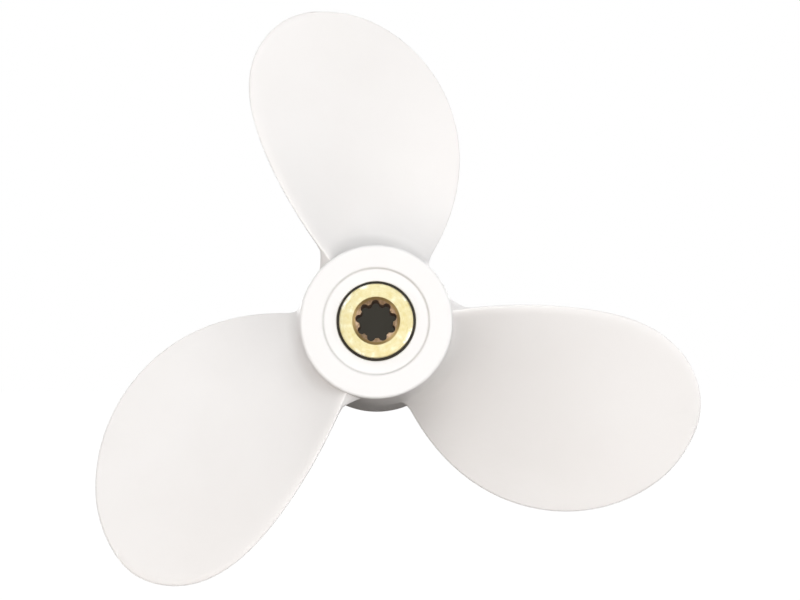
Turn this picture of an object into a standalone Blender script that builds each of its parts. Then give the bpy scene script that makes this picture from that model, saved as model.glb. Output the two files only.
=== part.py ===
"""Three-bladed outboard propeller with a rubber-damped splined hub, in metres.

Frame: the shaft runs along Y with the boat ahead at +Y, so the aft face points to -Y.
+Z is up, and one blade stands nearly upright. The origin is on the shaft's axis, halfway
along the cast hub. Angles round the shaft are counted anticlockwise as seen from astern.
"""

import math

import bmesh
import bpy
import numpy as np

MM = 0.001

# Propeller: a 7 1/2 x 6 inch right-hand wheel.
DIAMETER = 190.5 * MM
PITCH = 152.4 * MM
BLADES = 3
FIRST_BLADE_ANGLE = math.radians(90)

# Cast hub, a cone that widens forward.
HUB_LENGTH = 68.0 * MM
AFT_Y = -HUB_LENGTH / 2
FORWARD_Y = HUB_LENGTH / 2
AFT_RADIUS = 20.75 * MM
FORWARD_RADIUS = 28.0 * MM
RIM_ROUND = 0.8 * MM
AFT_RECESS_RADIUS = 14.4 * MM
AFT_RECESS_DEPTH = 0.6 * MM
LIP_BORE_RADIUS = 10.8 * MM
LIP_THICKNESS = 3.0 * MM
DAMPER_BORE_RADIUS = 16.0 * MM
FORWARD_RECESS_RADIUS = 21.5 * MM
FORWARD_RECESS_DEPTH = 10.0 * MM

# Blade: the outline's control points are on the disc seen from astern, for a blade pointing up.
# They run from the leading root corner (+x) round the tip to the trailing root corner (-x), in mm.
OUTLINE_MM = (
    (13.0, 16.0),
    (27.7, 36.0),
    (27.7, 70.5),
    (2.0, 93.3),
    (-17.4, 94.3),
    (-30.6, 89.7),
    (-42.5, 65.5),
    (-23.6, 30.0),
    (-12.3, 16.0),
)
BLADE_LINE_SETBACK = 17.5 * MM
BLADE_LINE_Y = AFT_Y + BLADE_LINE_SETBACK
EDGE_HALF = 0.65 * MM
ROOT_THICKNESS = 5.0 * MM
TIP_THICKNESS = 1.6 * MM
ROOT_FILLET = 3.8 * MM
# Ahead of the leading edge the fillet stands out by this share of what it does on the faces.
LEAD_FLARE = 0.4
FILLET_SUNK = 0.35 * MM
HUB_FOLLOW_HEIGHT = 13.5 * MM

# At the trailing root the blade runs out at the hub's aft edge: the fillet fades away on the
# pressure side, and the suction side swells into a thick, cut-off heel.
HEEL_THICKNESS = 5.1 * MM
HEEL_HEIGHT = 4.2 * MM
HEEL_FULLNESS = 0.85
HEEL_START = 0.55
AFT_TRIM = 0.9 * MM
TRIM_SOFTNESS = 0.5 * MM

# Brass sleeve, broached with nine round-bottomed grooves for the splined propeller shaft.
SLEEVE_RADIUS = 10.05 * MM
SLEEVE_AFT_STANDOUT = 0.8 * MM
SLEEVE_AFT_Y = AFT_Y - SLEEVE_AFT_STANDOUT
SLEEVE_FORWARD_SETBACK = 0.5 * MM
SLEEVE_FORWARD_Y = FORWARD_Y - FORWARD_RECESS_DEPTH - SLEEVE_FORWARD_SETBACK
SPLINES = 9
SPLINE_MAJOR_RADIUS = 5.7 * MM
SPLINE_MINOR_RADIUS = 4.65 * MM
SPLINE_GROOVE_RADIUS = 1.1 * MM
SPLINE_FIRST_ANGLE = math.radians(12.5)
COUNTERSINK_RADIUS = 6.5 * MM
COUNTERSINK_DEPTH = 1.6 * MM
SLEEVE_CHAMFER = 0.35 * MM
BROACH_OVERRUN = 2.0 * MM

# Meshes never touch: this much is left between neighbours.
FIT_GAP = 0.3 * MM

# Rubber damper between the sleeve and the casting.
DAMPER_AFT_Y = AFT_Y + AFT_RECESS_DEPTH + LIP_THICKNESS + FIT_GAP
DAMPER_FORWARD_SETBACK = 1.6 * MM
DAMPER_FORWARD_Y = SLEEVE_FORWARD_Y - DAMPER_FORWARD_SETBACK
DAMPER_OUTER_RADIUS = DAMPER_BORE_RADIUS - FIT_GAP
DAMPER_INNER_RADIUS = SLEEVE_RADIUS + FIT_GAP
DAMPER_CHAMFER = 0.8 * MM

# Mesh fineness.
TURNED_STEPS = 72
RIM_STEPS = 3
GROOVE_SIDES = 14
SHARP_ANGLE = math.radians(35)
FILLET_ROWS = 5
BLADE_ROWS = 18
CHORD_STEPS = 8
EDGE_STEPS = 3
MOST_EDGE_SHARE = 0.25
LEAST_SLANT = 0.02
LEAST_REACH = 0.001 * MM
OUTLINE_SAMPLES = 400


def clear_scene():
    for thing in list(bpy.data.objects):
        bpy.data.objects.remove(thing, do_unlink=True)


def material(name, colour, roughness, metallic):
    made = bpy.data.materials.new(name)
    made.use_nodes = True
    shader = made.node_tree.nodes["Principled BSDF"]
    shader.inputs["Base Color"].default_value = (*colour, 1.0)
    shader.inputs["Roughness"].default_value = roughness
    shader.inputs["Metallic"].default_value = metallic
    made.diffuse_color = (*colour, 1.0)
    return made


def object_from(name, verts, faces):
    """A smooth-shaded object whose faces point outwards."""
    mesh = bpy.data.meshes.new(name)
    mesh.from_pydata([tuple(map(float, v)) for v in verts], [], faces)
    work = bmesh.new()
    work.from_mesh(mesh)
    bmesh.ops.recalc_face_normals(work, faces=work.faces)
    work.to_mesh(mesh)
    work.free()
    mesh.shade_smooth()
    mesh.set_sharp_from_angle(angle=SHARP_ANGLE)
    made = bpy.data.objects.new(name, mesh)
    bpy.context.scene.collection.objects.link(made)
    return made


def turned(name, profile):
    """Revolves a closed profile of (y, radius) points about the shaft's axis."""
    verts = []
    for step in range(TURNED_STEPS):
        angle = 2 * math.pi * step / TURNED_STEPS
        for y, radius in profile:
            verts.append((radius * math.cos(angle), y, radius * math.sin(angle)))
    count = len(profile)
    faces = []
    for step in range(TURNED_STEPS):
        here = step * count
        there = (step + 1) % TURNED_STEPS * count
        for k in range(count):
            following = (k + 1) % count
            faces.append((here + k, here + following, there + following, there + k))
    return object_from(name, verts, faces)


def hub_radius(y):
    """The cast hub's outer radius at y."""
    share = (y - AFT_Y) / HUB_LENGTH
    return AFT_RADIUS + (FORWARD_RADIUS - AFT_RADIUS) * share


def rounded_rim(y, inward):
    """Points that round the hub's outer edge at y; inward is +1 at the aft end and -1 forward."""
    centre_y = y + inward * RIM_ROUND
    centre_radius = hub_radius(centre_y) - RIM_ROUND
    points = []
    for step in range(RIM_STEPS + 1):
        turn = math.pi / 2 * step / RIM_STEPS
        points.append(
            (
                centre_y - inward * RIM_ROUND * math.cos(turn),
                centre_radius + RIM_ROUND * math.sin(turn),
            )
        )
    return points


def hub_profile():
    recess_y = AFT_Y + AFT_RECESS_DEPTH
    lip_y = recess_y + LIP_THICKNESS
    shelf_y = FORWARD_Y - FORWARD_RECESS_DEPTH
    inner = [
        (FORWARD_Y, FORWARD_RECESS_RADIUS),
        (shelf_y, FORWARD_RECESS_RADIUS),
        (shelf_y, DAMPER_BORE_RADIUS),
        (lip_y, DAMPER_BORE_RADIUS),
        (lip_y, LIP_BORE_RADIUS),
        (recess_y, LIP_BORE_RADIUS),
        (recess_y, AFT_RECESS_RADIUS),
        (AFT_Y, AFT_RECESS_RADIUS),
    ]
    return rounded_rim(AFT_Y, 1) + rounded_rim(FORWARD_Y, -1)[::-1] + inner


def outline():
    """The blade's outline, a clamped cubic B-spline, as arrays of radii and angles."""
    points = np.array(OUTLINE_MM) * MM
    spans = len(points) - 3
    knots = np.concatenate([np.zeros(3), np.linspace(0, 1, spans + 1), np.ones(3)])
    places = np.linspace(0, 1, OUTLINE_SAMPLES)
    span = np.minimum((places * spans).astype(int), spans - 1) + 3
    work = [points[span - 3 + k] for k in range(4)]
    for level in range(1, 4):
        for k in range(3, level - 1, -1):
            low = knots[span - 3 + k]
            high = knots[span + 1 + k - level]
            share = ((places - low) / (high - low))[:, None]
            work[k] = (1 - share) * work[k - 1] + share * work[k]
    x, z = work[3].T
    return np.hypot(x, z), np.arctan2(z, x) - math.pi / 2


def blade_line(angle):
    """The y of the blade's middle surface, a right-hand helicoid, at this angle from its own axis."""
    return BLADE_LINE_Y - PITCH / (2 * math.pi) * angle


def pitch_angle(radius):
    return np.arctan(PITCH / (2 * math.pi * radius))


def xyz(angle, y, radius):
    return np.stack([-radius * np.sin(angle), y + 0 * angle, radius * np.cos(angle)], axis=-1)


def trimmed(y):
    """Flattens what would reach the hub's aft face, where the casting is faced off."""
    limit = AFT_Y + AFT_TRIM
    start = limit + TRIM_SOFTNESS
    soft = limit + TRIM_SOFTNESS * np.exp(np.minimum(y - start, 0) / TRIM_SOFTNESS)
    return np.where(y >= start, y, soft)


def row_heights(tip_height):
    """Heights over the hub of the blade's rows, even round the fillet and closing up on the tip."""
    turns = np.linspace(0, math.pi / 2, FILLET_ROWS + 1)
    low = ROOT_FILLET * (1 - np.cos(turns)) - FILLET_SUNK
    shares = np.linspace(0, 1, BLADE_ROWS + 1)[1:-1]
    high = tip_height - (tip_height - low[-1]) * (1 - shares) ** 2
    return np.concatenate([low, high])


def fillet_out(height):
    """How far the root fillet stands out from the blade at a height over the hub."""
    left = ROOT_FILLET - min(height + FILLET_SUNK, ROOT_FILLET)
    return ROOT_FILLET - math.sqrt(ROOT_FILLET**2 - left**2)


def heel_out(height):
    """How far the heel stands out on the suction side of the trailing root."""
    rise = min(max(height, 0.0) / HEEL_HEIGHT, 1.0)
    return HEEL_THICKNESS * (1 - rise**HEEL_FULLNESS)


def chord_shares(chord, lead_edge, trail_edge):
    """Where a row's points lie along its chord, crowded into both rounded edges."""
    turns = np.linspace(0, math.pi / 2, EDGE_STEPS + 1)
    lead_reach = min(lead_edge / chord, MOST_EDGE_SHARE)
    trail_reach = min(trail_edge / chord, MOST_EDGE_SHARE)
    start = lead_reach * (1 - np.cos(turns))
    middle = np.linspace(lead_reach, 1 - trail_reach, CHORD_STEPS + 1)[1:-1]
    end = 1 - trail_reach * (1 - np.cos(turns[::-1]))
    return np.concatenate([start, middle, end])


def skin(angle, offset, height):
    """Points of the blade's skin, offset forward (+) or aft (-) from the middle surface.

    Near the hub they also follow the hub's cone, by their height over it.
    """
    line_y = blade_line(angle)
    radius = height + hub_radius(line_y)
    slope = pitch_angle(radius)
    y = trimmed(line_y + offset * np.cos(slope))
    blend = max(0.0, 1 - max(height, 0.0) / HUB_FOLLOW_HEIGHT) ** 2
    turned_angle = angle + offset * np.sin(slope) / radius
    return xyz(turned_angle, y, radius + blend * (hub_radius(y) - hub_radius(line_y)))


def blade_row(height, lead, trail, edge_points):
    """Pressure and suction points from the leading to the trailing edge, at one height."""
    out = fillet_out(height)
    radius = height + (hub_radius(blade_line(lead)) + hub_radius(blade_line(trail))) / 2
    along_arc = radius / math.cos(pitch_angle(radius))
    bare_chord = (trail - lead) * along_arc
    flare = LEAD_FLARE * out
    chord = bare_chord + flare
    shares = chord_shares(chord, EDGE_HALF + out, EDGE_HALF)
    bare = lead + (trail - lead) * shares
    angle = bare - (1 - shares) * flare / along_arc
    bare_points = xyz(bare, blade_line(bare), height + hub_radius(blade_line(bare)))
    gaps = np.linalg.norm(bare_points[:, None] - edge_points[None], axis=2).min(axis=1)
    to_end = np.minimum(shares, 1 - shares)
    slant = np.clip(gaps / np.maximum(to_end * bare_chord, LEAST_REACH), LEAST_SLANT, 1)
    to_edge = to_end * chord * slant ** (1 - out / ROOT_FILLET)
    reach = np.where(shares < 0.5, EDGE_HALF + out, EDGE_HALF)
    curve = np.sqrt(1 - (1 - np.minimum(to_edge / reach, 1)) ** 2)
    radius = height + hub_radius(blade_line(angle))
    thickness = np.interp(radius, (AFT_RADIUS, DIAMETER / 2), (ROOT_THICKNESS, TIP_THICKNESS))
    hump = (thickness - 2 * EDGE_HALF) * 4 * shares * (1 - shares)
    heel = np.clip((shares - HEEL_START) / (1 - HEEL_START), 0, 1)
    heel = heel * heel * (3 - 2 * heel)
    aft_root = out * (1 - heel)
    forward_root = out + heel * (heel_out(height) - out)
    return (
        skin(angle, -(EDGE_HALF + aft_root) * curve, height),
        skin(angle, (EDGE_HALF + forward_root + hump) * curve, height),
    )


def blade_rows():
    """The blade's rows from the root out, and its tip point."""
    radii, angles = outline()
    heights = radii - hub_radius(blade_line(angles))
    edge_points = xyz(angles, blade_line(angles), radii)
    tip = int(np.argmax(heights))
    rows = []
    for height in row_heights(heights[tip]):
        lead = np.interp(height, heights[: tip + 1], angles[: tip + 1])
        trail = np.interp(height, heights[tip:][::-1], angles[tip:][::-1])
        rows.append(blade_row(height, lead, trail, edge_points))
    return rows, edge_points[tip]


def blade(name, turn):
    """One closed blade, turned about the shaft from the upright one."""
    rows, tip = blade_rows()
    last = len(rows[0][0]) - 1
    verts = []
    pressure = []
    suction = []
    for aft, forward in rows:
        pressure.append([len(verts) + k for k in range(last + 1)])
        verts.extend(aft)
        inner = [len(verts) + k for k in range(last - 1)]
        verts.extend(forward[1:-1])
        suction.append([pressure[-1][0], *inner, pressure[-1][last]])
    tip_vert = len(verts)
    verts.append(tip)
    faces = []
    for side in (pressure, suction):
        for low, high in zip(side, side[1:]):
            for k in range(last):
                faces.append((low[k], low[k + 1], high[k + 1], high[k]))
        for k in range(last):
            faces.append((side[-1][k], side[-1][k + 1], tip_vert))
    foot_p, foot_s = pressure[0], suction[0]
    faces.append((foot_p[0], foot_p[1], foot_s[1]))
    for k in range(1, last - 1):
        faces.append((foot_p[k], foot_p[k + 1], foot_s[k + 1], foot_s[k]))
    faces.append((foot_p[last - 1], foot_p[last], foot_s[last - 1]))
    cosine, sine = math.cos(turn), math.sin(turn)
    spun = [(x * cosine - z * sine, y, x * sine + z * cosine) for x, y, z in verts]
    return object_from(name, spun, faces)


def helper(thing):
    """Keeps an operand of a Boolean out of the finished object."""
    thing.hide_render = True
    thing.display_type = "WIRE"
    return thing


def combine(thing, operand, operation):
    change = thing.modifiers.new(operand.name, "BOOLEAN")
    change.operation = operation
    change.solver = "EXACT"
    change.object = operand


def propeller_casting():
    """Hub and blades, one aluminium casting under white paint."""
    casting = turned("propeller_casting", hub_profile())
    for number in range(BLADES):
        turn = FIRST_BLADE_ANGLE - math.pi / 2 + 2 * math.pi * number / BLADES
        combine(casting, helper(blade(f"blade_form_{number + 1}", turn)), "UNION")
    casting.data.materials.append(material("white_paint", (0.82, 0.81, 0.79), 0.42, 0.0))


def rubber_damper():
    """The rubber bush bonded to the sleeve and pressed into the casting."""
    chamfer = DAMPER_CHAMFER
    profile = [
        (DAMPER_AFT_Y, DAMPER_INNER_RADIUS),
        (DAMPER_AFT_Y, DAMPER_OUTER_RADIUS - chamfer),
        (DAMPER_AFT_Y + chamfer, DAMPER_OUTER_RADIUS),
        (DAMPER_FORWARD_Y - chamfer, DAMPER_OUTER_RADIUS),
        (DAMPER_FORWARD_Y, DAMPER_OUTER_RADIUS - chamfer),
        (DAMPER_FORWARD_Y, DAMPER_INNER_RADIUS),
    ]
    damper = turned("rubber_damper", profile)
    damper.data.materials.append(material("black_rubber", (0.02, 0.02, 0.022), 0.75, 0.0))


def spline_cutter():
    """Nine round-bottomed grooves as bars that run past both ends of the sleeve."""
    centre_radius = SPLINE_MAJOR_RADIUS - SPLINE_GROOVE_RADIUS
    start_y = SLEEVE_AFT_Y - BROACH_OVERRUN
    end_y = SLEEVE_FORWARD_Y + BROACH_OVERRUN
    verts = []
    faces = []
    for number in range(SPLINES):
        angle = SPLINE_FIRST_ANGLE + 2 * math.pi * number / SPLINES
        centre_x = centre_radius * math.cos(angle)
        centre_z = centre_radius * math.sin(angle)
        first = len(verts)
        for y in (start_y, end_y):
            for side in range(GROOVE_SIDES):
                turn = angle + 2 * math.pi * side / GROOVE_SIDES
                x = centre_x + SPLINE_GROOVE_RADIUS * math.cos(turn)
                z = centre_z + SPLINE_GROOVE_RADIUS * math.sin(turn)
                verts.append((x, y, z))
        near = list(range(first, first + GROOVE_SIDES))
        far = list(range(first + GROOVE_SIDES, first + 2 * GROOVE_SIDES))
        faces.append(tuple(near))
        faces.append(tuple(reversed(far)))
        for side in range(GROOVE_SIDES):
            following = (side + 1) % GROOVE_SIDES
            faces.append((near[side], far[side], far[following], near[following]))
    return object_from("spline_cutter", verts, faces)


def splined_sleeve():
    """The brass sleeve that slides on the propeller shaft and carries its torque."""
    chamfer = SLEEVE_CHAMFER
    profile = [
        (SLEEVE_AFT_Y, SLEEVE_RADIUS - chamfer),
        (SLEEVE_AFT_Y + chamfer, SLEEVE_RADIUS),
        (SLEEVE_FORWARD_Y - chamfer, SLEEVE_RADIUS),
        (SLEEVE_FORWARD_Y, SLEEVE_RADIUS - chamfer),
        (SLEEVE_FORWARD_Y, COUNTERSINK_RADIUS),
        (SLEEVE_FORWARD_Y - COUNTERSINK_DEPTH, SPLINE_MINOR_RADIUS),
        (SLEEVE_AFT_Y + COUNTERSINK_DEPTH, SPLINE_MINOR_RADIUS),
        (SLEEVE_AFT_Y, COUNTERSINK_RADIUS),
    ]
    sleeve = turned("splined_sleeve", profile)
    combine(sleeve, helper(spline_cutter()), "DIFFERENCE")
    sleeve.data.materials.append(material("brass", (0.83, 0.68, 0.36), 0.3, 1.0))


clear_scene()
propeller_casting()
rubber_damper()
splined_sleeve()
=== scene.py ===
"""Looks for the boat propeller: a painted casting, a rubber damper and a splined brass sleeve."""

import math

import bmesh
import bpy
import numpy as np
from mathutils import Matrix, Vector, geometry


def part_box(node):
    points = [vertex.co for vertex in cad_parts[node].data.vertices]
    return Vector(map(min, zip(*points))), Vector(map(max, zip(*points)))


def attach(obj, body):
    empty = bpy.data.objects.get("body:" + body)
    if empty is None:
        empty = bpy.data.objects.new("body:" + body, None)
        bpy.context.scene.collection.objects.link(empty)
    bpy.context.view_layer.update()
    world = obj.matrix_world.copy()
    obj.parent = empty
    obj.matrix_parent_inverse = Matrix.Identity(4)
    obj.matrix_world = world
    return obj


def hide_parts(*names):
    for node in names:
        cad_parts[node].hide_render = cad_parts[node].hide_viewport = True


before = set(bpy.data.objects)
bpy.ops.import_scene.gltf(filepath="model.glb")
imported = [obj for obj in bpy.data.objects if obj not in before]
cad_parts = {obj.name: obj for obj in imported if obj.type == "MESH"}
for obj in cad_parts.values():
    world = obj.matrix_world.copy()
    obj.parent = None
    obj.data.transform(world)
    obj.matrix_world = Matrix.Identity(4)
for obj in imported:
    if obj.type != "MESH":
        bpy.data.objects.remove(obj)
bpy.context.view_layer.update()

MM = 0.001

# The frame says where the hub, the sleeve and the damper begin and end along the shaft (Y).
CASTING_LOW, CASTING_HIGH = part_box("propeller_casting")
SLEEVE_LOW, SLEEVE_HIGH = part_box("splined_sleeve")
DAMPER_LOW, DAMPER_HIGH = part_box("rubber_damper")
AFT_Y = CASTING_LOW.y
FORWARD_Y = CASTING_HIGH.y
HUB_LENGTH = FORWARD_Y - AFT_Y

# Propeller.
PITCH = 152.4 * MM
TIP_RADIUS = 95.25 * MM
BLADES = 3
FIRST_BLADE_ANGLE = math.radians(90)

# Cast hub, with the radii and corner radii of its turned faces.
AFT_RADIUS = 20.75 * MM
FORWARD_RADIUS = 28.0 * MM
RIM_ROUND = 1.1 * MM
RIM_CORNER = 0.85 * RIM_ROUND
AFT_RECESS_RADIUS = 14.4 * MM
AFT_RECESS_DEPTH = 0.6 * MM
AFT_RECESS_SLOPE = 0.2 * MM
AFT_RECESS_CORNER = 0.25 * MM
LIP_BORE_RADIUS = 10.8 * MM
LIP_THICKNESS = 3.0 * MM
DAMPER_BORE_RADIUS = 16.0 * MM
FORWARD_RECESS_RADIUS = 21.5 * MM
FORWARD_RECESS_DEPTH = 10.0 * MM
FORWARD_RECESS_DRAFT = 0.4 * MM
SOFT_CORNER = 0.3 * MM
CAST_CORNER = 1.2 * MM

# Blade outline on the disc, seen from astern with the blade pointing up: control points in mm
# from the leading root corner (+x) round the tip to the trailing root corner (-x).
OUTLINE_MM = (
    (13.0, 16.0),
    (27.7, 36.0),
    (27.7, 70.5),
    (2.0, 93.3),
    (-17.4, 94.3),
    (-30.6, 89.7),
    (-42.5, 65.5),
    (-23.6, 30.0),
    (-12.3, 16.0),
)
BLADE_LINE_Y = AFT_Y + 17.5 * MM
EDGE_HALF = 0.65 * MM
TRAIL_ROUND = 2.6 * MM
ROOT_THICKNESS = 5.0 * MM
TIP_THICKNESS = 1.6 * MM
ROOT_FILLET = 3.8 * MM
# Ahead of the leading edge the fillet stands out by this share of what it does on the faces.
LEAD_FLARE = 0.4
# The trailing root swells into a thick heel on its forward side, cut off at the hub's aft edge.
HEEL_THICKNESS = 5.1 * MM
HEEL_HEIGHT = 4.2 * MM
HEEL_FULLNESS = 0.85
HEEL_START = 0.55
AFT_TRIM = 1.2 * MM
TRIM_SOFTNESS = 0.5 * MM
HUB_FOLLOW_HEIGHT = 13.5 * MM

# Mesh fineness.
OUTLINE_SAMPLES = 900
FILLET_ROWS = 10
BLADE_ROWS = 64
EDGE_STEPS = 6
CHORD_STEPS = 44
MOST_EDGE_SHARE = 0.3
LEAST_SLANT = 0.02
SECTOR_STEPS = 80
HUB_SKIN_STEPS = 36
SECTOR_GRID_GAP = 0.45 * MM
TRIANGLE_SLACK = 1e-5
CORNER_STEPS = 5
WELD = 1e-6


def mesh_object(name, verts, faces, smooth_angle=40):
    """An object with its faces turned out, doubles merged and area-weighted smooth shading."""
    mesh = bpy.data.meshes.new(name)
    mesh.from_pydata([tuple(map(float, v)) for v in verts], [], faces)
    work = bmesh.new()
    work.from_mesh(mesh)
    bmesh.ops.remove_doubles(work, verts=work.verts, dist=WELD)
    bmesh.ops.recalc_face_normals(work, faces=work.faces)
    work.to_mesh(mesh)
    work.free()
    mesh.shade_smooth()
    mesh.set_sharp_from_angle(angle=math.radians(smooth_angle))
    made = bpy.data.objects.new(name, mesh)
    bpy.context.scene.collection.objects.link(made)
    weighted = made.modifiers.new("even_shading", "WEIGHTED_NORMAL")
    weighted.keep_sharp = True
    return made


def rounded_path(corners, steps=CORNER_STEPS):
    """An open (y, radius) path through corners given as (y, radius, corner radius), rounded off."""
    path = [corners[0][:2]]
    for before, corner, after in zip(corners, corners[1:], corners[2:]):
        here = np.array(corner[:2])
        to_before = np.array(before[:2]) - here
        to_after = np.array(after[:2]) - here
        to_before /= np.linalg.norm(to_before)
        to_after /= np.linalg.norm(to_after)
        half = math.acos(np.clip(to_before @ to_after, -1, 1)) / 2
        if corner[2] == 0:
            path.append(tuple(here))
            continue
        reach = corner[2] / math.tan(half)
        start = here + to_before * reach
        end = here + to_after * reach
        bisector = (to_before + to_after) / np.linalg.norm(to_before + to_after)
        centre = here + bisector * corner[2] / math.sin(half)
        for step in range(steps + 1):
            share = step / steps
            swing = math.pi - 2 * half
            from_start = start - centre
            from_end = end - centre
            start_weight = math.sin((1 - share) * swing) / math.sin(swing)
            end_weight = math.sin(share * swing) / math.sin(swing)
            path.append(tuple(centre + start_weight * from_start + end_weight * from_end))
    path.append(corners[-1][:2])
    return path


def strip_faces(steps, count, closed):
    """Faces between neighbouring copies of a path of count points, all the way round the shaft."""
    faces = []
    for step in range(steps):
        here = step * count
        there = (step + 1) % steps * count
        for k in range(count if closed else count - 1):
            following = (k + 1) % count
            faces.append((here + k, here + following, there + following, there + k))
    return faces


def turned_strips(path, steps, first_angle, closed=False):
    """Vertices and faces of a (y, radius) path revolved about the shaft."""
    verts = []
    for step in range(steps):
        angle = first_angle + 2 * math.pi * step / steps
        for y, radius in path:
            verts.append((radius * math.cos(angle), y, radius * math.sin(angle)))
    return verts, strip_faces(steps, len(path), closed)


# ---------------------------------------------------------------- casting


def hub_radius(y):
    """The cast hub's outer radius at y."""
    return AFT_RADIUS + (FORWARD_RADIUS - AFT_RADIUS) * (y - AFT_Y) / HUB_LENGTH


def line_y(angle):
    """The y of the blade's middle surface at an angle from the blade's own axis."""
    return BLADE_LINE_Y - PITCH / (2 * math.pi) * angle


def pitch_angle(radius):
    """The angle of the blade to the disc at a radius."""
    return np.arctan(PITCH / (2 * math.pi * radius))


def outline():
    """The blade's outline as (radius, angle) arrays: a clamped cubic B-spline."""
    points = np.array(OUTLINE_MM) * MM
    spans = len(points) - 3
    knots = np.concatenate([np.zeros(3), np.linspace(0, 1, spans + 1), np.ones(3)])
    places = np.linspace(0, 1, OUTLINE_SAMPLES)
    span = np.minimum((places * spans).astype(int), spans - 1) + 3
    work = [points[span - 3 + k] for k in range(4)]
    for level in range(1, 4):
        for k in range(3, level - 1, -1):
            low = knots[span - 3 + k]
            high = knots[span + 1 + k - level]
            share = ((places - low) / (high - low))[:, None]
            work[k] = (1 - share) * work[k - 1] + share * work[k]
    x, z = work[3].T
    return np.hypot(x, z), np.arctan2(z, x) - math.pi / 2


def xyz(angle, y, radius):
    """Points from their angle past the upright, anticlockwise from astern, and their radius."""
    return np.stack([-radius * np.sin(angle), y + 0 * angle, radius * np.cos(angle)], axis=-1)


def trimmed(y):
    """Flattens what would reach the hub's aft face, where the casting is faced off."""
    limit = AFT_Y + AFT_TRIM
    start = limit + TRIM_SOFTNESS
    soft = limit + TRIM_SOFTNESS * np.exp(np.minimum(y - start, 0) / TRIM_SOFTNESS)
    return np.where(y >= start, y, soft)


def row_heights(tip_height):
    """Heights above the hub: round the root fillet in even angles, then closing up on the tip."""
    turns = np.linspace(0, math.pi / 2, FILLET_ROWS + 1)
    low = ROOT_FILLET * (1 - np.cos(turns))
    shares = np.linspace(0, 1, BLADE_ROWS + 1)[1:]
    high = tip_height - (tip_height - ROOT_FILLET) * (1 - shares) ** 2
    return np.concatenate([low, high[:-1]])


def fillet_out(height):
    """How far the root fillet stands out from the bare blade at a height above the hub."""
    left = ROOT_FILLET - min(height, ROOT_FILLET)
    return ROOT_FILLET - math.sqrt(ROOT_FILLET**2 - left**2)


def heel_out(height):
    """How far the thick heel stands out on the suction side of the trailing root."""
    return HEEL_THICKNESS * (1 - min(height / HEEL_HEIGHT, 1) ** HEEL_FULLNESS)


def chord_shares(chord, lead_edge, trail_edge):
    """Where a row's points lie along its chord, crowded round both edges."""
    turns = np.linspace(0, math.pi / 2, EDGE_STEPS + 1)
    lead_reach = min(lead_edge / chord, MOST_EDGE_SHARE)
    trail_reach = min(trail_edge / chord, MOST_EDGE_SHARE)
    start = lead_reach * (1 - np.cos(turns))
    middle = np.linspace(lead_reach, 1 - trail_reach, CHORD_STEPS + 1)[1:-1]
    end = 1 - trail_reach * (1 - np.cos(turns[::-1]))
    return np.concatenate([start, middle, end])


def edge_curve(to_edge, reach):
    """The share of the full thickness at a distance from the edge, rounded over the reach."""
    return np.sqrt(1 - (1 - np.minimum(to_edge / reach, 1)) ** 2)


def blade_row(height, lead, trail, edge_points):
    """The (angle, y, radius) of a row's pressure and suction points, from the leading edge aft."""
    out = fillet_out(height)
    to_arc = height + (hub_radius(line_y(lead)) + hub_radius(line_y(trail))) / 2
    to_arc /= math.cos(pitch_angle(to_arc))
    bare_chord = (trail - lead) * to_arc
    flare = LEAD_FLARE * out
    chord = bare_chord + flare
    trail_round = min(TRAIL_ROUND, MOST_EDGE_SHARE * chord)
    shares = chord_shares(chord, EDGE_HALF + out, trail_round)
    bare = lead + (trail - lead) * shares
    angle = bare - (1 - shares) * flare / to_arc

    # Near the tip the outline runs along the row, so the edge is closer than the row's ends are.
    bare_points = xyz(bare, line_y(bare), height + hub_radius(line_y(bare)))
    gaps = np.linalg.norm(bare_points[:, None] - edge_points[None], axis=2).min(axis=1)
    to_end = np.minimum(shares, 1 - shares)
    slant = np.clip(gaps / np.maximum(to_end * bare_chord, WELD), LEAST_SLANT, 1)
    to_edge = to_end * chord * slant ** (1 - out / ROOT_FILLET)
    leading = shares < 0.5
    aft_curve = edge_curve(to_edge, np.where(leading, EDGE_HALF + out, trail_round))
    forward_curve = edge_curve(to_edge, np.where(leading, EDGE_HALF + out, EDGE_HALF))

    radius = height + hub_radius(line_y(angle))
    thickness = np.interp(radius, (AFT_RADIUS, TIP_RADIUS), (ROOT_THICKNESS, TIP_THICKNESS))
    hump = (thickness - 2 * EDGE_HALF) * 4 * shares * (1 - shares)
    heel = np.clip((shares - HEEL_START) / (1 - HEEL_START), 0, 1)
    heel = heel * heel * (3 - 2 * heel)
    aft_root = out * (1 - heel)
    forward_root = out + heel * (heel_out(height) - out)
    aft = skin(angle, -(EDGE_HALF + aft_root) * aft_curve, height)
    forward = skin(angle, (EDGE_HALF + forward_root + hump) * forward_curve, height)
    return aft, forward


def blade_rows():
    """The blade's rows from the root out, and the (angle, y, radius) of its tip."""
    radii, angles = outline()
    heights = radii - hub_radius(line_y(angles))
    edge_points = xyz(angles, line_y(angles), radii)
    tip = int(np.argmax(heights))
    rows = []
    for height in row_heights(heights[tip]):
        lead = np.interp(height, heights[: tip + 1], angles[: tip + 1])
        trail = np.interp(height, heights[tip:][::-1], angles[tip:][::-1])
        rows.append(blade_row(height, lead, trail, edge_points))
    return rows, (angles[tip], line_y(angles[tip]), radii[tip])


def skin(angle, offset, height):
    """Blade skin points, offset forward (+) or aft (-) from the middle surface."""
    radius = height + hub_radius(line_y(angle))
    slope = pitch_angle(radius)
    turned_angle = angle + offset * np.sin(slope) / radius
    y = trimmed(line_y(angle) + offset * np.cos(slope))
    blend = max(0.0, 1 - height / HUB_FOLLOW_HEIGHT) ** 2
    return turned_angle, y, radius + blend * (hub_radius(y) - hub_radius(line_y(angle)))


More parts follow.
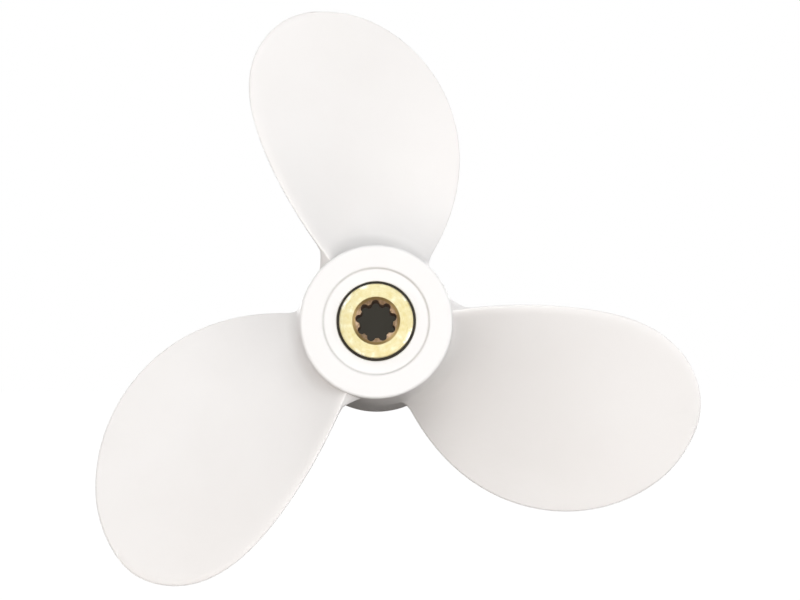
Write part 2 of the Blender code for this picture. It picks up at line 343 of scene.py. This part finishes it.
def inside(points, loop):
    """Whether each point lies inside a closed loop, by counting crossings."""
    found = np.zeros(len(points), bool)
    for (x0, y0), (x1, y1) in zip(loop, np.roll(loop, -1, axis=0)):
        crosses = (y0 > points[:, 1]) != (y1 > points[:, 1])
        at = x0 + (points[:, 1] - y0) / (y1 - y0 + (y1 == y0)) * (x1 - x0)
        found ^= crosses & (points[:, 0] < at)
    return found


def hub_sector(foot):
    """The hub's outer skin round one blade's foot, as (angle, y) points and triangles."""
    low_y, high_y = AFT_Y + RIM_ROUND, FORWARD_Y - RIM_ROUND
    half_turn = math.pi / BLADES
    scale = (AFT_RADIUS + FORWARD_RADIUS) / 2
    angles = np.linspace(-half_turn, half_turn, SECTOR_STEPS + 1)
    ys = np.linspace(low_y, high_y, HUB_SKIN_STEPS + 1)
    grid = np.array([(angle * scale, y) for angle in angles for y in ys])
    loop = np.stack([foot[:, 0] * scale, foot[:, 1]], axis=1)
    near = np.linalg.norm(grid[:, None, :] - loop[None, :, :], axis=2).min(axis=1)
    on_border = np.zeros(len(grid), bool)
    for edge in (-half_turn * scale, half_turn * scale):
        on_border |= np.abs(grid[:, 0] - edge) < WELD
    for edge in (low_y, high_y):
        on_border |= np.abs(grid[:, 1] - edge) < WELD
    keep = on_border | (~inside(grid, loop) & (near > SECTOR_GRID_GAP))
    points = np.concatenate([loop, grid[keep]])
    count = len(loop)
    edges = [(k, (k + 1) % count) for k in range(count)]
    places, _, triangles, origins, _, _ = geometry.delaunay_2d_cdt(
        [Vector(p / MM) for p in points], edges, [], 0, TRIANGLE_SLACK
    )
    places = np.array([tuple(p) for p in places]) * MM
    for k, origin in enumerate(origins):
        if origin:
            places[k] = points[origin[0]]
    centres = np.array([places[list(t)].mean(axis=0) for t in triangles])
    outside = ~inside(centres, loop)
    places[:, 0] /= scale
    return places, [t for t, kept in zip(triangles, outside) if kept]


def blade_skin():
    """One blade's (angle, y, radius) points and faces, and the loop of points at its foot."""
    rows, tip = blade_rows()
    last = len(rows[0][0][0]) - 1
    points = []
    pressure = []
    suction = []
    for aft_side, forward_side in rows:
        first = len(points)
        points.extend(zip(*aft_side))
        pressure.append(list(range(first, first + last + 1)))
        first = len(points)
        points.extend(list(zip(*forward_side))[1:-1])
        suction.append([pressure[-1][0], *range(first, first + last - 1), pressure[-1][last]])
    points.append(tip)
    tip_point = len(points) - 1
    faces = []
    for side in (pressure, suction):
        for low, high in zip(side, side[1:]):
            for k in range(last):
                faces.append((low[k], low[k + 1], high[k + 1], high[k]))
        for k in range(last):
            faces.append((side[-1][k], side[-1][k + 1], tip_point))
    return points, faces, pressure[0] + suction[0][-2:0:-1]


def shifted(faces, first):
    """Faces renumbered to points that begin at first."""
    return [tuple(first + k for k in face) for face in faces]


def cast_propeller():
    """Hub and blades as one closed skin: three like sectors and the turned inside."""
    points, sector_faces, foot_loop = blade_skin()
    places, triangles = hub_sector(np.array([points[k][:2] for k in foot_loop]))
    sector_faces.extend(shifted(triangles, len(points)))
    points.extend((angle, y, hub_radius(y)) for angle, y in places)
    points = np.array(points)

    verts = []
    faces = []
    for number in range(BLADES):
        spin = FIRST_BLADE_ANGLE - math.pi / 2 + 2 * math.pi * number / BLADES
        faces.extend(shifted(sector_faces, len(verts)))
        verts.extend(xyz(points[:, 0] + spin, points[:, 1], points[:, 2]))
    inner_verts, inner_faces = turned_strips(
        hub_inner_path(), SECTOR_STEPS * BLADES, FIRST_BLADE_ANGLE + math.pi / BLADES
    )
    faces.extend(shifted(inner_faces, len(verts)))
    verts.extend(inner_verts)
    casting = mesh_object("painted_casting", verts, faces)
    casting.data.materials.append(white_paint())
    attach(casting, "propeller")
    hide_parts("propeller_casting")


def hub_inner_path():
    """From the outer skin's aft edge, in through the bore, and out to its forward edge."""
    recess_y = AFT_Y + AFT_RECESS_DEPTH
    lip_y = recess_y + LIP_THICKNESS
    shelf_y = FORWARD_Y - FORWARD_RECESS_DEPTH
    start_y = AFT_Y + RIM_ROUND
    end_y = FORWARD_Y - RIM_ROUND
    corners = [
        (start_y, hub_radius(start_y), 0),
        (AFT_Y, hub_radius(AFT_Y), RIM_CORNER),
        (AFT_Y, AFT_RECESS_RADIUS + AFT_RECESS_SLOPE, AFT_RECESS_CORNER),
        (recess_y, AFT_RECESS_RADIUS - AFT_RECESS_SLOPE, AFT_RECESS_CORNER),
        (recess_y, LIP_BORE_RADIUS, SOFT_CORNER),
        (lip_y, LIP_BORE_RADIUS, SOFT_CORNER),
        (lip_y, DAMPER_BORE_RADIUS, 0),
        (shelf_y, DAMPER_BORE_RADIUS, SOFT_CORNER),
        (shelf_y, FORWARD_RECESS_RADIUS - FORWARD_RECESS_DRAFT, CAST_CORNER),
        (FORWARD_Y, FORWARD_RECESS_RADIUS, SOFT_CORNER),
        (FORWARD_Y, hub_radius(FORWARD_Y), RIM_CORNER),
        (end_y, hub_radius(end_y), 0),
    ]
    return rounded_path(corners)


# ---------------------------------------------------------------- damper and sleeve


SLEEVE_RADIUS = 10.05 * MM
COUNTERSINK_RADIUS = 6.5 * MM
COUNTERSINK_DEPTH = 1.6 * MM
SPLINES = 9
SPLINE_MAJOR_RADIUS = 5.7 * MM
SPLINE_MINOR_RADIUS = 4.65 * MM
SPLINE_FIRST_ANGLE = math.radians(12.5)
SPLINE_GROOVE_RADIUS = 1.1 * MM
SPLINE_SOFTNESS = 0.2 * MM
SAMPLES_PER_GROOVE = 64
SLEEVE_CHAMFER = 0.35 * MM
SLEEVE_SMOOTH_ANGLE = 30

# The rubber's bond to the sleeve and its press fit in the casting leave no gap to be seen.
BOND_GAP = 0.01 * MM
PRESS_GAP = 0.02 * MM
LIP_GAP = 0.05 * MM
# Its aft ring lies a little below the recess's floor, with a low crown between its edges.
RING_DEPTH = 0.45 * MM
RING_CROWN_DEPTH = 0.3 * MM
RING_CROWN_ROUND = 0.2 * MM
DAMPER_END_ROUND = 1.5 * MM
DAMPER_HOLLOW_DEPTH = 0.6 * MM
DAMPER_HOLLOW_ROUND = 2.0 * MM
DAMPER_STEPS = 240
DAMPER_SMOOTH_ANGLE = 35


def spline_radius(angle):
    """The bore's radius at an angle: nine round grooves between nine rounded teeth."""
    step = 2 * math.pi / SPLINES
    off = (angle - SPLINE_FIRST_ANGLE + step / 2) % step - step / 2
    centre = SPLINE_MAJOR_RADIUS - SPLINE_GROOVE_RADIUS
    inside_groove = max(SPLINE_GROOVE_RADIUS**2 - (centre * math.sin(off)) ** 2, 0.0)
    groove = centre * math.cos(off) + math.sqrt(inside_groove)
    tooth = SPLINE_MINOR_RADIUS
    return (groove + tooth + math.hypot(groove - tooth, SPLINE_SOFTNESS)) / 2


def brass_sleeve():
    """The turned sleeve, broached through, with a countersink at each end."""
    aft, forward = SLEEVE_LOW.y, SLEEVE_HIGH.y
    outside = rounded_path(
        [
            (forward, COUNTERSINK_RADIUS, 0),
            (forward, SLEEVE_RADIUS, SLEEVE_CHAMFER),
            (aft, SLEEVE_RADIUS, SLEEVE_CHAMFER),
            (aft, COUNTERSINK_RADIUS, 0),
        ]
    )
    slope = COUNTERSINK_DEPTH / (COUNTERSINK_RADIUS - SPLINE_MINOR_RADIUS)
    steps = SPLINES * SAMPLES_PER_GROOVE
    verts = []
    for step in range(steps):
        angle = 2 * math.pi * step / steps
        bore = spline_radius(angle)
        depth = (COUNTERSINK_RADIUS - bore) * slope
        path = [*outside, (aft + depth, bore), (forward - depth, bore)]
        for y, radius in path:
            verts.append((radius * math.cos(angle), y, radius * math.sin(angle)))
    faces = strip_faces(steps, len(outside) + 2, closed=True)
    sleeve = mesh_object("brass_sleeve", verts, faces, SLEEVE_SMOOTH_ANGLE)
    sleeve.data.materials.append(brass())
    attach(sleeve, "sleeve")
    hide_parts("splined_sleeve")


def moulded_damper():
    """The rubber bush between the sleeve and the casting, with a collar inside the aft lip."""
    recess_y = AFT_Y + AFT_RECESS_DEPTH
    lip_y = recess_y + LIP_THICKNESS + LIP_GAP
    end_y = DAMPER_HIGH.y
    inner = SLEEVE_RADIUS + BOND_GAP
    collar = LIP_BORE_RADIUS - PRESS_GAP
    outer = DAMPER_BORE_RADIUS - PRESS_GAP
    corners = [
        (recess_y + RING_DEPTH, inner, 0),
        (recess_y + RING_CROWN_DEPTH, (inner + LIP_BORE_RADIUS) / 2, RING_CROWN_ROUND),
        (recess_y + RING_DEPTH, collar, 0),
        (lip_y, collar, 0),
        (lip_y, outer, 0),
        (end_y, outer, DAMPER_END_ROUND),
        (end_y - DAMPER_HOLLOW_DEPTH, (inner + DAMPER_BORE_RADIUS) / 2, DAMPER_HOLLOW_ROUND),
        (end_y, inner, 0),
    ]
    verts, faces = turned_strips(rounded_path(corners), DAMPER_STEPS, 0.0, closed=True)
    damper = mesh_object("moulded_damper", verts, faces, DAMPER_SMOOTH_ANGLE)
    damper.data.materials.append(black_rubber())
    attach(damper, "damper")
    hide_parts("rubber_damper")


# ---------------------------------------------------------------- materials


# Colours, as linear red, green and blue.
PAINT_DARK = (0.799, 0.785, 0.778)
PAINT_LIGHT = (0.824, 0.813, 0.809)
# Painted highlight: the turned aft face gets a whiter paint colour for the light it catches.
FACE_HIGHLIGHT_PAINT = (0.835, 0.830, 0.830)
# Painted shade: the darkening round the corner of the aft face's recess.
CORNER_SHADE_COLOUR = (0.56, 0.545, 0.53)
RUBBER_DARK = (0.020, 0.017, 0.012)
RUBBER_DUSTY = (0.046, 0.039, 0.028)
FACE_BRASS = (0.61, 0.52, 0.25)
FACE_BRASS_WORN = (0.66, 0.60, 0.36)
FACE_BRASS_WIPED = (0.74, 0.73, 0.57)
RIM_BRASS_WORN = (0.93, 0.92, 0.84)
SCRATCHED_BRASS = (0.42, 0.30, 0.10)
# Painted shade: browner, darker brass on the countersinks' cones, the teeth's ends and down the
# bore, for the shade and dark reflections there; the teeth's pale patches are wear.
SHADED_CONE_BRASS = (0.56, 0.41, 0.19)
SHADED_TOOTH_BRASS = (0.58, 0.40, 0.25)
TOOTH_BRASS_WORN = (0.95, 0.76, 0.56)
BORE_SHADE_BRASS = (0.40, 0.27, 0.20)

# Where one colour gives way to the next, painted highlight and shade among them: the start and end
# of each change.
# Painted highlight: over this span along the shaft the aft face's whiter paint fades out.
FACE_HIGHLIGHT_Y = (AFT_Y + 0.7 * MM, AFT_Y + 1.3 * MM)
# Painted shade: how far the darkening reaches either side of the recess's corner.
CORNER_SHADE_REACH = (0.1 * MM, 0.6 * MM)
TOOTH_END_RADII = (5.5 * MM, 5.9 * MM)
BRASS_FACE_RADII = (6.3 * MM, 6.6 * MM)
WORN_RIM_RADII = (8.9 * MM, 9.6 * MM)
BORE_SHADE_DEPTHS = (1.2 * MM, 3.5 * MM)
# Painted shade: the most that the recess's corner is darkened.
MOST_CORNER_SHADE = 0.4


class Nodes:
    """A material's node tree, with short calls for the nodes that the finishes share."""

    def __init__(self, name):
        self.material = bpy.data.materials.new(name)
        self.material.use_nodes = True
        self.tree = self.material.node_tree
        self.shader = self.tree.nodes["Principled BSDF"]
        self.place = self.add("ShaderNodeTexCoord").outputs["Object"]

    def add(self, kind, **settings):
        node = self.tree.nodes.new(kind)
        for key, value in settings.items():
            setattr(node, key, value)
        return node

    def join(self, source, target):
        self.tree.links.new(source, target)

    def noise(self, size, detail=3.0, roughness=0.5):
        """Noise whose features are about this many metres across."""
        node = self.add("ShaderNodeTexNoise")
        node.inputs["Scale"].default_value = 1 / size
        node.inputs["Detail"].default_value = detail
        node.inputs["Roughness"].default_value = roughness
        self.join(self.place, node.inputs["Vector"])
        return node.outputs["Fac"]

    def ramp(self, factor, stops):
        """A colour that runs through (position, colour) stops as the factor goes from 0 to 1."""
        node = self.add("ShaderNodeValToRGB")
        elements = node.color_ramp.elements
        while len(elements) < len(stops):
            elements.new(0.5)
        for element, (position, colour) in zip(elements, stops):
            element.position = position
            element.color = (*colour, 1.0)
        self.join(factor, node.inputs["Fac"])
        return node.outputs["Color"]

    def remap(self, value, low, high, from_low=0.0, from_high=1.0):
        """The value's range from_low to from_high, stretched to low to high and held there."""
        node = self.add("ShaderNodeMapRange")
        node.inputs["From Min"].default_value = from_low
        node.inputs["From Max"].default_value = from_high
        node.inputs["To Min"].default_value = low
        node.inputs["To Max"].default_value = high
        self.join(value, node.inputs["Value"])
        return node.outputs["Result"]

    def math(self, operation, first, second=None):
        """One sum on sockets or fixed numbers."""
        node = self.add("ShaderNodeMath", operation=operation)
        for value, socket in zip((first, second), node.inputs):
            if isinstance(value, (int, float)):
                socket.default_value = value
            elif value is not None:
                self.join(value, socket)
        return node.outputs["Value"]

    def bump(self, height, distance, after=None):
        """A bumped normal, as deep as the distance, on top of another bump where one is given."""
        node = self.add("ShaderNodeBump")
        node.inputs["Distance"].default_value = distance
        self.join(height, node.inputs["Height"])
        if after is not None:
            self.join(after, node.inputs["Normal"])
        return node.outputs["Normal"]

    def mix(self, factor, first, second):
        """A blend of two colours, each a socket or a fixed (r, g, b)."""
        node = self.add("ShaderNodeMix", data_type="RGBA")
        self.join(factor, node.inputs["Factor"])
        for value, socket in ((first, node.inputs["A"]), (second, node.inputs["B"])):
            if isinstance(value, tuple):
                socket.default_value = (*value, 1.0)
            else:
                self.join(value, socket)
        return node.outputs["Result"]

    def along(self, axis):
        """One coordinate of the point, in metres."""
        parts = self.add("ShaderNodeSeparateXYZ")
        self.join(self.place, parts.inputs["Vector"])
        return parts.outputs[axis]

    def shaft_radius(self):
        """The distance from the shaft's axis, in metres."""
        squares = [self.math("POWER", self.along(axis), 2.0) for axis in ("X", "Z")]
        return self.math("SQRT", self.math("ADD", *squares))

    def ring_noise(self, width, turns_per_radian, detail):
        """Noise drawn out round the shaft, like the marks of a lathe."""
        angle = self.math("ARCTAN2", self.along("Z"), self.along("X"))
        join = self.add("ShaderNodeCombineXYZ")
        self.join(self.math("DIVIDE", self.shaft_radius(), width), join.inputs["X"])
        self.join(self.math("MULTIPLY", angle, turns_per_radian), join.inputs["Y"])
        node = self.add("ShaderNodeTexNoise")
        node.inputs["Scale"].default_value = 1.0
        node.inputs["Detail"].default_value = detail
        self.join(join.outputs["Vector"], node.inputs["Vector"])
        return node.outputs["Fac"]


def white_paint():
    """Satin white paint over cast aluminium: faint mottling, orange peel and a fine grain.

    The turned aft face is given a whiter white as a painted highlight, and the corner of its recess
    is darkened as painted shade.
    """
    nodes = Nodes("white_paint")
    shader = nodes.shader
    tint = nodes.ramp(nodes.noise(30 * MM, 4.0), [(0.3, PAINT_DARK), (0.7, PAINT_LIGHT)])
    # Painted highlight: the aft face is given the whiter paint colour.
    on_face = nodes.remap(nodes.along("Y"), 1.0, 0.0, *FACE_HIGHLIGHT_Y)
    tint = nodes.mix(on_face, tint, FACE_HIGHLIGHT_PAINT)
    # Painted shade: the face is darkened round the corner of its recess.
    off_corner = nodes.math("SUBTRACT", nodes.shaft_radius(), AFT_RECESS_RADIUS)
    corner_shade = nodes.remap(nodes.math("ABSOLUTE", off_corner), MOST_CORNER_SHADE, 0.0, *CORNER_SHADE_REACH)
    tint = nodes.mix(nodes.math("MULTIPLY", corner_shade, on_face), tint, CORNER_SHADE_COLOUR)
    nodes.join(tint, shader.inputs["Base Color"])
    nodes.join(nodes.remap(nodes.noise(6 * MM, 5.0), 0.38, 0.5), shader.inputs["Roughness"])
    peel = nodes.bump(nodes.noise(1.6 * MM, 2.0), 0.02 * MM)
    grain = nodes.bump(nodes.noise(0.35 * MM, 3.0), 0.006 * MM, after=peel)
    nodes.join(grain, shader.inputs["Normal"])
    return nodes.material


def brass():
    """Turned brass: fine circular marks and pale wiped patches, with painted shade making it darker
    and browner in the countersinks and down the broached bore.
    """
    nodes = Nodes("turned_brass")
    shader = nodes.shader
    shader.inputs["Metallic"].default_value = 1.0
    radius = nodes.shaft_radius()
    streaks = nodes.ring_noise(0.12 * MM, 2.5, 3.0)
    face = nodes.ramp(
        nodes.noise(1.8 * MM, 5.0),
        [(0.3, FACE_BRASS), (0.62, FACE_BRASS_WORN), (0.8, FACE_BRASS_WIPED)],
    )
    face = nodes.mix(nodes.remap(streaks, 0.0, 0.35, 0.45, 0.75), face, FACE_BRASS_WIPED)
    near_rim = nodes.remap(radius, 0.0, 1.0, *WORN_RIM_RADII)
    wear = nodes.remap(nodes.noise(4.0 * MM, 6.0, 0.7), 0.0, 1.0, 0.52, 0.64)
    face = nodes.mix(nodes.math("MULTIPLY", near_rim, wear), face, RIM_BRASS_WORN)
    scratches = nodes.remap(nodes.ring_noise(0.2 * MM, 5.0, 4.0), 0.0, 0.5, 0.64, 0.72)
    face = nodes.mix(scratches, face, SCRATCHED_BRASS)
    # Painted shade: the countersinks and the bore are given darker, browner brass, darkest deep
    # down the bore.
    teeth = nodes.ramp(nodes.noise(0.9 * MM, 4.0), [(0.3, SHADED_TOOTH_BRASS), (0.7, TOOTH_BRASS_WORN)])
    mouth = nodes.mix(nodes.remap(radius, 0.0, 1.0, *TOOTH_END_RADII), teeth, SHADED_CONE_BRASS)
    along_shaft = nodes.along("Y")
    from_aft = nodes.math("SUBTRACT", along_shaft, SLEEVE_LOW.y)
    from_forward = nodes.math("SUBTRACT", SLEEVE_HIGH.y, along_shaft)
    depth = nodes.math("MINIMUM", from_aft, from_forward)
    bore = nodes.mix(nodes.remap(depth, 0.0, 1.0, *BORE_SHADE_DEPTHS), mouth, BORE_SHADE_BRASS)
    on_face = nodes.remap(radius, 0.0, 1.0, *BRASS_FACE_RADII)
    nodes.join(nodes.mix(on_face, bore, face), shader.inputs["Base Color"])
    nodes.join(nodes.remap(nodes.noise(1.0 * MM, 4.0), 0.4, 0.55), shader.inputs["Roughness"])
    marks = nodes.bump(nodes.ring_noise(0.07 * MM, 1.2, 2.0), 0.006 * MM)
    dents = nodes.bump(nodes.noise(0.8 * MM, 3.0), 0.03 * MM, after=marks)
    nodes.join(dents, shader.inputs["Normal"])
    return nodes.material


def black_rubber():
    """Moulded nitrile rubber with a dusty, uneven surface."""
    nodes = Nodes("black_rubber")
    shader = nodes.shader
    tint = nodes.ramp(nodes.noise(1.5 * MM, 4.0), [(0.35, RUBBER_DARK), (0.75, RUBBER_DUSTY)])
    nodes.join(tint, shader.inputs["Base Color"])
    nodes.join(nodes.remap(nodes.noise(2.0 * MM, 3.0), 0.6, 0.8), shader.inputs["Roughness"])
    nodes.join(nodes.bump(nodes.noise(0.5 * MM, 4.0), 0.03 * MM), shader.inputs["Normal"])
    return nodes.material


# ---------------------------------------------------------------- stage


# Camera: its tilt, turn and roll in degrees, and its lens in mm.
CAMERA_PLACE = (1.1 * MM, -275.7 * MM, -10.8 * MM)
CAMERA_UP_TILT = 8.755
CAMERA_RIGHT_TURN = 1.05
CAMERA_ROLL = 0.19
CAMERA_LENS = 39.917
CAMERA_SHIFT = (0.0041, -0.0945)

WHITE_LIGHT = (1.0, 1.0, 1.0)
COOL_LIGHT = (0.93, 0.975, 1.0)
WARM_LIGHT = (1.0, 0.925, 0.865)

# Softboxes: name, azimuth and elevation in degrees, power in watts and colour.
SOFTBOX_DISTANCE = 1.2
SOFTBOX_SIZE = 0.9
SOFTBOXES = (
    ("front_box", 0, 5, 3.2, COOL_LIGHT),
    ("front_high_box", 0, 38, 5.1, WHITE_LIGHT),
    ("front_low_box", 0, -27, 4.2, WARM_LIGHT),
    ("right_box", 45, -8, 5.8, WHITE_LIGHT),
    ("left_low_box", -45, -20, 3.5, WARM_LIGHT),
    ("far_right_box", 90, 5, 2.9, WHITE_LIGHT),
    ("far_left_box", -70, 40, 3.3, WHITE_LIGHT),
    ("back_high_box", 160, 60, 5.0, WHITE_LIGHT),
    ("back_right_box", 150, 15, 5.0, WHITE_LIGHT),
    ("back_left_box", -150, 15, 6.0, WHITE_LIGHT),
)

ROOM_LIGHT = 0.03
ROOM_COLOUR = (1.0, 0.93, 0.85)
FLOOR_Z = -1.0
FLOOR_REACH = 30.0
FLOOR_COLOUR = (0.85, 0.85, 0.85)
FLOOR_GLOW = 1.0
BACKING_RADIUS = 5.75 * MM
BACKING_DEPTH = 16.0 * MM
# Painted shade: the dark disc down the bore and the faint warm glow that it gives off.
SHADE_DISC_COLOUR = (0.02, 0.02, 0.02)
SHADE_DISC_GLOW_COLOUR = (1.0, 0.93, 0.75)
SHADE_DISC_GLOW = 0.042


def glowing(name, colour, roughness, glow_colour, glow):
    """A plain material that gives off a little light of its own."""
    material = bpy.data.materials.new(name)
    material.use_nodes = True
    shader = material.node_tree.nodes["Principled BSDF"]
    shader.inputs["Base Color"].default_value = (*colour, 1)
    shader.inputs["Roughness"].default_value = roughness
    shader.inputs["Emission Color"].default_value = (*glow_colour, 1)
    shader.inputs["Emission Strength"].default_value = glow
    return material


def pale_floor():
    """A floor that glows a little, so that it stays pale, and lends the object no light."""
    mesh = bpy.data.meshes.new("floor")
    near, far = -FLOOR_REACH, FLOOR_REACH
    corners = [(near, near), (far, near), (far, far), (near, far)]
    mesh.from_pydata([(x, y, FLOOR_Z) for x, y in corners], [], [(0, 1, 2, 3)])
    floor = bpy.data.objects.new("floor", mesh)
    bpy.context.scene.collection.objects.link(floor)
    mesh.materials.append(glowing("pale_floor", FLOOR_COLOUR, 0.9, WHITE_LIGHT, FLOOR_GLOW))
    floor.visible_diffuse = False
    floor.visible_glossy = False


def bore_shade_disc():
    """A dark disc down the bore, faintly glowing, as painted shade, so that the bore looks dark
    instead of showing the white room through it.
    """
    mesh = bpy.data.meshes.new("bore_shade_disc")
    work = bmesh.new()
    bmesh.ops.create_circle(work, cap_ends=True, segments=72, radius=BACKING_RADIUS)
    work.to_mesh(mesh)
    work.free()
    disc = bpy.data.objects.new("bore_shade_disc", mesh)
    disc.location = (0, AFT_Y + BACKING_DEPTH, 0)
    disc.rotation_euler = (math.radians(90), 0, 0)
    bpy.context.scene.collection.objects.link(disc)
    # Painted shade: dark with a faint warm glow, so the bore reads as a dark brownish grey.
    mesh.materials.append(glowing("shadow", SHADE_DISC_COLOUR, 1.0, SHADE_DISC_GLOW_COLOUR, SHADE_DISC_GLOW))


def softbox(name, azimuth, elevation, power, colour):
    """A round area lamp that faces the hub; azimuth 0 is astern, and 90 is on the right."""
    lamp = bpy.data.lights.new(name, "AREA")
    lamp.shape = "DISK"
    lamp.size = SOFTBOX_SIZE
    lamp.energy = power
    lamp.color = colour
    across, up = math.radians(azimuth), math.radians(elevation)
    way = Vector((math.cos(up) * math.sin(across), -math.cos(up) * math.cos(across), math.sin(up)))
    made = bpy.data.objects.new(name, lamp)
    made.location = way * SOFTBOX_DISTANCE
    made.rotation_euler = way.to_track_quat("Z", "Y").to_euler()
    made.visible_camera = False
    bpy.context.scene.collection.objects.link(made)


def studio():
    """A white room that lights the object only a little, and softboxes all round."""
    scene = bpy.context.scene
    scene.view_settings.view_transform = "Standard"
    scene.world = bpy.data.worlds.new("studio")
    scene.world.use_nodes = True
    tree = scene.world.node_tree
    tree.nodes.clear()
    white = tree.nodes.new("ShaderNodeBackground")
    white.inputs["Color"].default_value = (1, 1, 1, 1)
    dim = tree.nodes.new("ShaderNodeBackground")
    dim.inputs["Color"].default_value = (*ROOM_COLOUR, 1)
    dim.inputs["Strength"].default_value = ROOM_LIGHT
    path = tree.nodes.new("ShaderNodeLightPath")
    mix = tree.nodes.new("ShaderNodeMixShader")
    output = tree.nodes.new("ShaderNodeOutputWorld")
    tree.links.new(path.outputs["Is Camera Ray"], mix.inputs[0])
    tree.links.new(dim.outputs[0], mix.inputs[1])
    tree.links.new(white.outputs[0], mix.inputs[2])
    tree.links.new(mix.outputs[0], output.inputs["Surface"])
    for name, azimuth, elevation, power, colour in SOFTBOXES:
        softbox(name, azimuth, elevation, power, colour)


def camera():
    """A camera astern and a little low, with the photograph's perspective and framing."""
    data = bpy.data.cameras.new("camera")
    data.lens = CAMERA_LENS
    data.shift_x, data.shift_y = CAMERA_SHIFT
    made = bpy.data.objects.new("camera", data)
    made.location = CAMERA_PLACE
    made.rotation_euler = (
        math.radians(90 + CAMERA_UP_TILT),
        math.radians(CAMERA_ROLL),
        math.radians(-CAMERA_RIGHT_TURN),
    )
    bpy.context.scene.collection.objects.link(made)
    bpy.context.scene.camera = made


cast_propeller()
moulded_damper()
brass_sleeve()
pale_floor()
bore_shade_disc()
studio()
camera()
